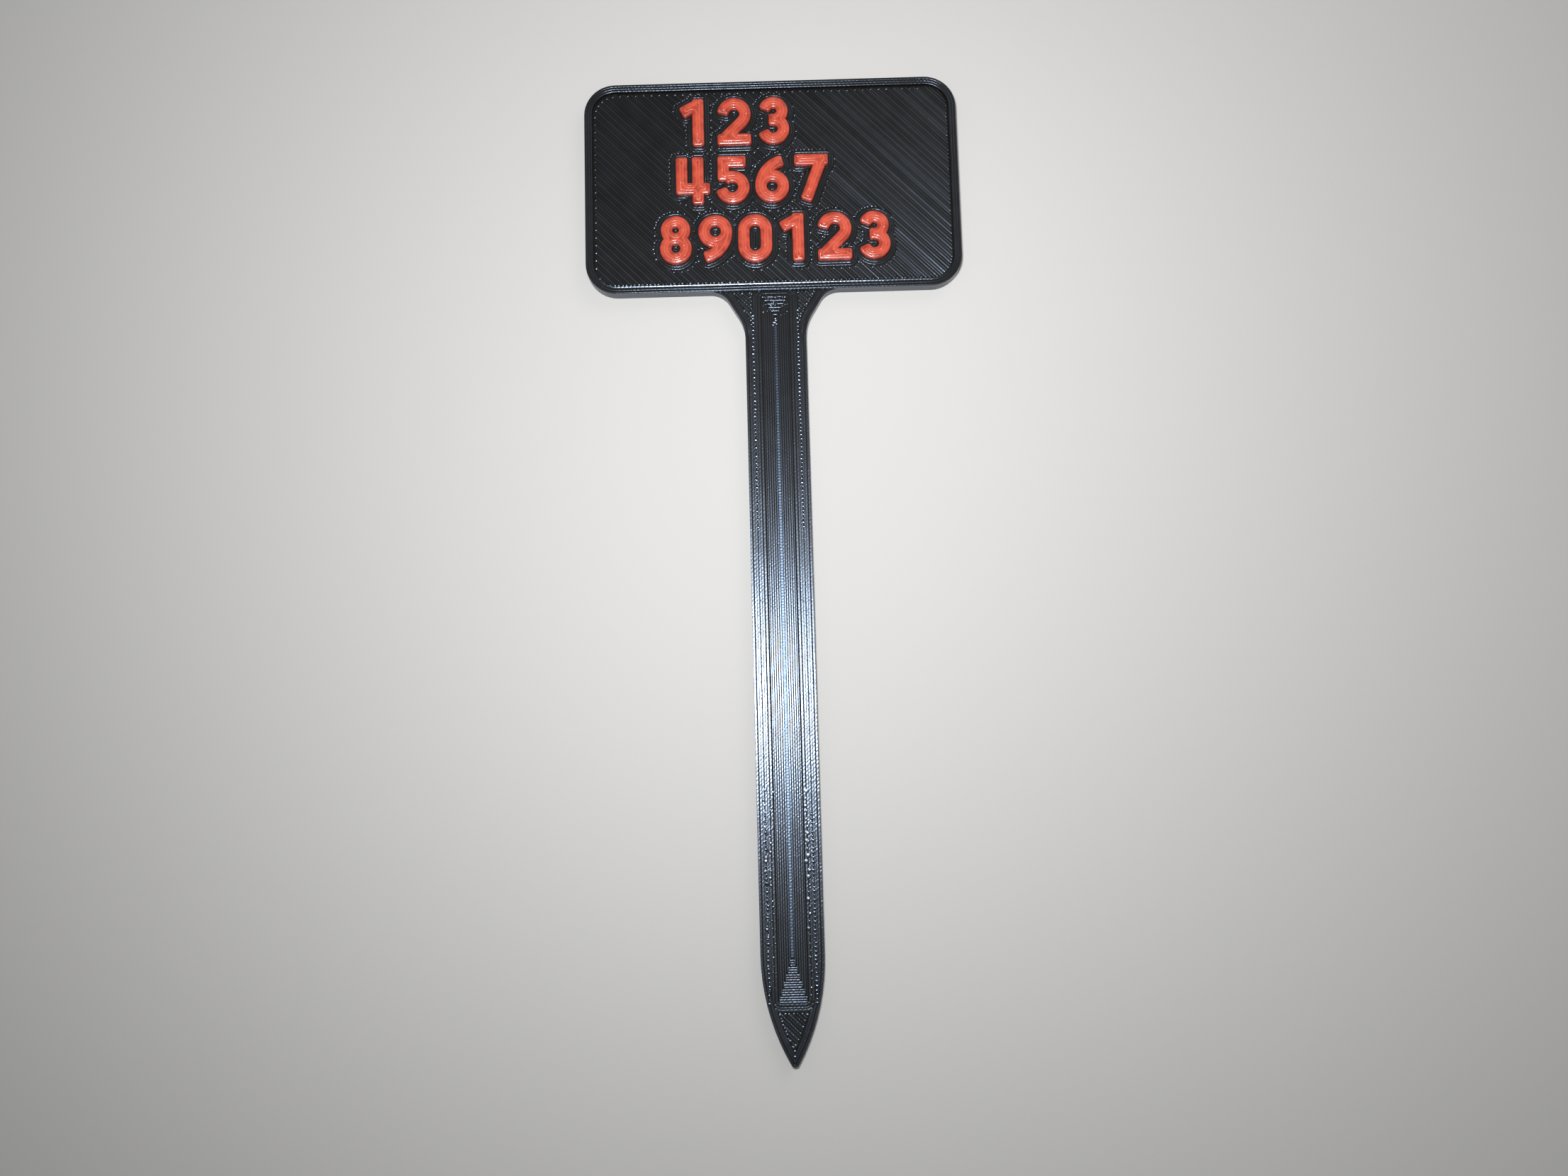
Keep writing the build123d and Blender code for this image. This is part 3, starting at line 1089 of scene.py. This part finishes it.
class LABEL_OT_stem_strands(bpy.types.Operator):
    """Lay the strands along the edges of the stem and its groove, the fill between them and the beads"""

    bl_idname = "label.stem_strands"
    bl_label = "Stem strands"

    borders = 3
    clearance = 0.2
    # Sizes of the knobs down the left and the right seam, by turns, and how far they wander
    seam_sizes = ((1.3, 0.9), (1.2, 1.25))
    seam_wander = 0.1
    # Low beads: how far each column of them strays and its largest size, and how they wander and grow
    bead_columns = ((0.1 * MM, 1.8), (0.1 * MM, 1.8), (0.2 * MM, 1.2))
    bead_step = 1.7
    bead_wander = 0.25
    bead_least = 0.55
    bead_sizes = (0.6, 1)
    bead_depth = 1.8
    # Beads down the left side of the point, and places of those near the tip, measured from it
    point_beads = 9
    point_step = 1.5
    point_clearance = 0.6
    point_size = 1.2
    point_places = 200
    tip_beads = (1.5 * MM, 2.3 * MM)

    def lay_borders(self, strands, room, low_edge, width, gap):
        """Lays the strands that follow the edges, as far as the plate, with a gap behind the first."""
        for count in range(self.borders):
            distance = (count + 0.5) * width + (gap if count else 0.0)
            for path in room.contours(distance):
                path = spaced(path, strands.settings.station, True)
                runs, whole = runs_where(path, path[:, 1] < low_edge, True)
                for run in runs:
                    lay_level(strands, run, SLAB_TOP, width, closed=whole)

    def lay_seams(self, strands, side, low, high):
        """Lays knobs along the seam on each side of the stem, smaller in its calm stretch."""
        settings = strands.settings
        pitch = settings.seam_knobs
        for across, sizes in zip((-side, side), self.seam_sizes):
            for count, up in enumerate(np.arange(low, high, pitch)):
                wander = strands.draws.uniform(-self.seam_wander, self.seam_wander, 2) * pitch
                calm = settings.calm_size if settings.calm_low < up < settings.calm_high else 1
                lay_knob(strands, wander + (across, up), (0, 1), SLAB_TOP, sizes[count % 2] * calm)

    def lay_low_beads(self, strands, columns):
        """Swells low beads out of the strands of the lower stem, larger and flatter further up."""
        settings = strands.settings
        pitch = settings.seam_knobs
        low, high = settings.bead_low, settings.bead_high
        for across, (spread, largest) in zip(columns, self.bead_columns):
            for up in np.arange(low, high, self.bead_step * pitch):
                wander = strands.draws.normal(0, 1, 2) * (spread, self.bead_wander * pitch)
                rise = (up - low) / (high - low)
                size = largest * min(1, self.bead_least + rise) * strands.draws.uniform(*self.bead_sizes)
                depth = settings.bead_depth * (self.bead_depth - rise)
                lay_knob(strands, wander + (across, up), (0, 1), SLAB_TOP, size, depth)

    def lay_point_beads(self, strands, room, top):
        """Lays beads down the left side of the fill in the point, and near the tip."""
        settings = strands.settings
        clear = (self.borders + self.point_clearance) * settings.border_width
        across = np.linspace(-STEM_REACH, 0, self.point_places)
        for count in range(self.point_beads):
            up = top - count * self.point_step * settings.seam_knobs
            row = np.column_stack((across, np.full(len(across), up)))
            inner = row[room.at(row) > clear]
            if len(inner):
                lay_knob(strands, inner[0], (0, 1), SLAB_TOP, self.point_size)
        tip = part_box(BODY)[0].y
        for reach in self.tip_beads:
            lay_knob(strands, np.array((0.0, tip + reach)), (0, 1), SLAB_TOP, self.point_size)

    def execute(self, context):
        settings = context.scene.label_print
        outline = flat_loops(BODY, 0.0)[0]
        plate_bottom = plate_outline()[:, 1].min()
        groove = [loop for loop in flat_loops(BODY, SLAB_TOP) if loop[:, 1].max() < plate_bottom - WELD][-1]
        low = (-STEM_REACH, outline[:, 1].min())
        high = (STEM_REACH, plate_bottom + 1 * MM)
        room = DistanceMap(low, high, STEM_GRID, reach=3 * MM)
        room.add([outline, groove])
        edge = abs(outline[np.abs(outline[:, 1]).argmin(), 0])
        shore = groove[:, 0].max()
        flange = edge - shore
        gap = settings.edge_gap
        width = ((flange - settings.seam_width) / 2 - gap) / self.borders
        strands = Strands("stem_strands", settings, FLAT_CROWN)
        self.lay_borders(strands, room, plate_bottom, width, gap)
        strands.piece(body_material("black_filament_stem", STEM_RIPPLE))

        clear = (self.borders + self.clearance) * width + gap

        def kept_where(line):
            return (room.at(line) > clear) & (line[:, 1] < plate_bottom) & (np.abs(line[:, 0]) < STEM_REACH)

        fill = Strands("stem_fill", settings)
        lines = fill_lines(low, high, settings.fill_pitch, settings.fill_angle)
        lay_fill([fill], lines, kept_where, SLAB_TOP, Swell(settings.seed + 1, settings.swell_size))
        side = edge - flange / 2
        groove_low, groove_high = groove[:, 1].min(), groove[:, 1].max()
        self.lay_seams(fill, side, groove_low, groove_high - 2 * RIM_WIDTH)
        self.lay_point_beads(fill, room, groove_low - settings.seam_knobs)

        beside = shore + width + gap / 2
        beads = Strands("stem_beads", settings, BEAD_CROWN)
        self.lay_low_beads(beads, (-side, beside, -beside))
        beads.piece(body_material())
        fill.piece(body_material())
        return {"FINISHED"}


class LABEL_OT_back_strands(bpy.types.Operator):
    """Lay the first layer, pressed flat, over the back of the label"""

    bl_idname = "label.back_strands"
    bl_label = "Back strands"

    borders = 2
    clearance = 0.1

    def execute(self, context):
        settings = context.scene.label_print
        width = settings.border_width
        outline = flat_loops(BODY, 0.0)[0]
        low, high = outline.min(0), outline.max(0)
        room = DistanceMap(low, high, WIDE_GRID, reach=1.5 * MM)
        room.add([outline])
        clear = (self.borders + self.clearance) * width
        strands = Strands("back_strands", settings, FLAT_CROWN)

        def press(path, width, closed):
            height = np.full(len(path), settings.strand_depth - settings.back_proud)
            strands.add(np.column_stack((path, height)), DOWN, width, settings.strand_depth, closed)

        for count in range(self.borders):
            press(inset(outline, (count + 0.5) * width), width, True)
        for line in fill_lines(low, high, settings.fill_pitch, -settings.fill_angle, 2 * LINE_STEP):
            for run in runs_where(line, room.at(line) > clear, False)[0]:
                press(run[[0, -1]], settings.fill_pitch * settings.fill_share, False)
        strands.piece(smooth_material())
        return {"FINISHED"}


class LABEL_OT_groove_strands(bpy.types.Operator):
    """Lay the strands on the steps and the floor of the groove"""

    bl_idname = "label.groove_strands"
    bl_label = "Groove strands"

    ramp_share = 0.98
    stations_in_ridge = 4
    ridge_sizes = (0.5, 1.2)
    # Beads where the filament drooped into the groove, how far they reach across and down, and their size
    droop_beads = 34
    droop_reach = (2.0 * MM, 3.2 * MM)
    droop_size = 1.3
    # Beads of the blob below them, how far they spread, how far the blob lies below, and its step and size
    blob_beads = 9
    blob_spread = 0.3 * MM
    blob_drop = 1.2 * MM
    blob_step = -3
    blob_size = 1.1

    def lay_ramp(self, strands, start, end, reach, level):
        """Lays the strands that cross one step of a ramp."""
        rows = max(1, round(abs(end - start) / strands.settings.border_width))
        depth = (end - start) / rows
        for row in range(rows):
            up = start + (row + 0.5) * depth
            ends = np.array(((-reach, up), (reach, up)))
            lay_level(strands, ends, level, abs(depth) * self.ramp_share)

    def lay_start_beads(self, strands, start, levels):
        """Drops beads where the filament first drooped into the groove, and a blob below them."""
        for _ in range(self.droop_beads):
            across, down = strands.draws.uniform((-1, 0.05), (1, 1)) * self.droop_reach
            step = min(int(down / self.droop_reach[1] * GROOVE_STEPS), GROOVE_STEPS - 1)
            level = max(levels[step], levels[int((1 - abs(across) / GROOVE_HALF_WIDTH) * GROOVE_STEPS)])
            turn = strands.draws.uniform(-1, 1)
            along = (math.cos(turn), math.sin(turn))
            lay_knob(strands, np.array((across, start - down)), along, level, self.droop_size)
        for _ in range(self.blob_beads):
            across, down = strands.draws.normal(0, self.blob_spread, 2)
            place = np.array((across, start - self.droop_reach[1] - self.blob_drop - down))
            lay_knob(strands, place, (0, 1), levels[self.blob_step], self.blob_size)

    def lay_floor(self, strands, low, high, level, width):
        """Lays the strand of the groove's floor, ridged by the strands that it crosses."""
        settings = strands.settings
        up = np.arange(low, high, settings.ridge_pitch / self.stations_in_ridge)
        sizes = strands.draws.uniform(*self.ridge_sizes, len(up))
        ridges = np.sin(up * 2 * math.pi / settings.ridge_pitch) * sizes
        heights = level + settings.proud - settings.strand_depth + ridges * settings.ridge_height
        path = np.column_stack((np.zeros(len(up)), up, heights))
        strands.add(path, UP, width, settings.strand_depth)

    def execute(self, context):
        settings = context.scene.label_print
        width = settings.border_width
        ledges = Strands("groove_ledges", settings, LEDGE_CROWN)
        ramps = Strands("groove_ramps", settings)
        floor = Strands("groove_floor", settings, FLAT_CROWN)
        levels = [SLAB_TOP - (step + 1) * settings.layer_height for step in range(GROOVE_STEPS)]
        outlines = [flat_loops(BODY, level)[0] for level in levels]
        for level, outer, inner in zip(levels, outlines, outlines[1:] + [None]):
            half = outer[:, 0].max()
            low, high = outer[:, 1].min(), outer[:, 1].max()
            if inner is None:
                self.lay_floor(floor, low, high, level, 2 * half)
                continue
            gap = settings.shore_gap if level == levels[0] else settings.ledge_gap
            step = half - gap - inner[:, 0].max()
            for side in (-1, 1):
                across = side * (half - gap - step / 2)
                ends = np.array(((across, low + width / 2), (across, high - width / 2)))
                lay_level(ledges, ends, level, step)
            for start, end in ((high, inner[:, 1].max()), (low, inner[:, 1].min())):
                self.lay_ramp(ramps, start, end, half - width / 4, level)
        self.lay_start_beads(ramps, outlines[0][:, 1].max(), levels)
        ledges.piece(smooth_material())
        ramps.piece(body_material())
        floor.piece(drawn_material())
        return {"FINISHED"}


def floor_material(colour, roughness):
    """A plain pale matt floor."""
    material, _, inputs = new_material("pale_floor")
    inputs["Base Color"].default_value = (*colour, 1.0)
    inputs["Roughness"].default_value = roughness
    return material


def soft_lamp(name, place, aim, size, spread, power, colour):
    """A square soft lamp that points from its place to its aim."""
    light = bpy.data.lights.new(name, "AREA")
    light.size = size
    light.spread = spread
    light.energy = power
    light.color = colour
    lamp = bpy.data.objects.new(name, light)
    lamp.location = place
    lamp.rotation_euler = (Vector(aim) - Vector(place)).to_track_quat("-Z", "Y").to_euler()
    bpy.context.scene.collection.objects.link(lamp)


class LABEL_OT_stage(bpy.types.Operator):
    """Set the plain pale floor, the soft light and the camera"""

    bl_idname = "label.stage"
    bl_label = "Stage"

    def execute(self, context):
        settings = context.scene.label_stage
        half = settings.floor_size / 2
        mesh = bpy.data.meshes.new("floor")
        corners = ((-half, -half, 0), (half, -half, 0), (half, half, 0), (-half, half, 0))
        mesh.from_pydata(corners, [], [(0, 1, 2, 3)])
        mesh.materials.append(floor_material(settings.floor_colour, settings.floor_roughness))
        floor = bpy.data.objects.new("floor", mesh)
        context.scene.collection.objects.link(floor)

        soft_lamp(
            "near_lamp",
            settings.lamp_place,
            settings.lamp_aim,
            settings.lamp_size,
            settings.lamp_spread,
            settings.lamp_power,
            WHITE,
        )
        soft_lamp(
            "side_lamp",
            settings.side_place,
            (0.0, 0.0, 0.0),
            settings.side_size,
            math.pi,
            settings.side_power,
            settings.side_colour,
        )

        world = bpy.data.worlds.new("even_light")
        world.use_nodes = True
        sky = world.node_tree.nodes["Background"]
        sky.inputs["Color"].default_value = (*settings.sky_colour, 1.0)
        sky.inputs["Strength"].default_value = settings.sky_strength
        context.scene.world = world
        context.scene.view_settings.view_transform = "Standard"

        lens = bpy.data.cameras.new("camera")
        lens.lens = CAMERA_LENS
        lens.sensor_width = SENSOR_WIDTH
        lens.clip_start = 1 * MM
        camera = bpy.data.objects.new("camera", lens)
        camera.location = CAMERA_PLACE
        camera.rotation_euler = Euler([math.radians(turn) for turn in CAMERA_TURN], "XYZ")
        context.scene.collection.objects.link(camera)
        context.scene.camera = camera
        return {"FINISHED"}


OPERATORS = (
    LABEL_OT_stage,
    LABEL_OT_finishes,
    LABEL_OT_wall_layers,
    LABEL_OT_rim_strands,
    LABEL_OT_field_strands,
    LABEL_OT_figure_strands,
    LABEL_OT_stem_strands,
    LABEL_OT_groove_strands,
    LABEL_OT_back_strands,
)


class LABEL_PT_panel(bpy.types.Panel):
    """Lists the steps that dress the label stake"""

    bl_idname = "LABEL_PT_panel"
    bl_label = "Label stake"
    bl_space_type = "VIEW_3D"
    bl_region_type = "UI"
    bl_category = "Label stake"

    def draw(self, context):
        for operator in OPERATORS:
            self.layout.operator(operator.bl_idname)
        for settings in (context.scene.label_print, context.scene.label_finish, context.scene.label_stage):
            box = self.layout.box()
            for name in type(settings).__annotations__:
                box.prop(settings, name)


CLASSES = (PrintSettings, FinishSettings, StageSettings, *OPERATORS, LABEL_PT_panel)


def register():
    """Registers the settings, the steps and the panel."""
    for kind in CLASSES:
        bpy.utils.register_class(kind)
    bpy.types.Scene.label_print = PointerProperty(type=PrintSettings)
    bpy.types.Scene.label_finish = PointerProperty(type=FinishSettings)
    bpy.types.Scene.label_stage = PointerProperty(type=StageSettings)


def unregister():
    """Takes the panel, the steps and the settings out again."""
    del bpy.types.Scene.label_stage
    del bpy.types.Scene.label_finish
    del bpy.types.Scene.label_print
    for kind in reversed(CLASSES):
        bpy.utils.unregister_class(kind)


def main():
    """Dresses the label stake."""
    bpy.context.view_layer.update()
    register()
    for operator in OPERATORS:
        getattr(bpy.ops.label, operator.bl_idname.split(".")[1])()


if __name__ == "__main__":
    main()
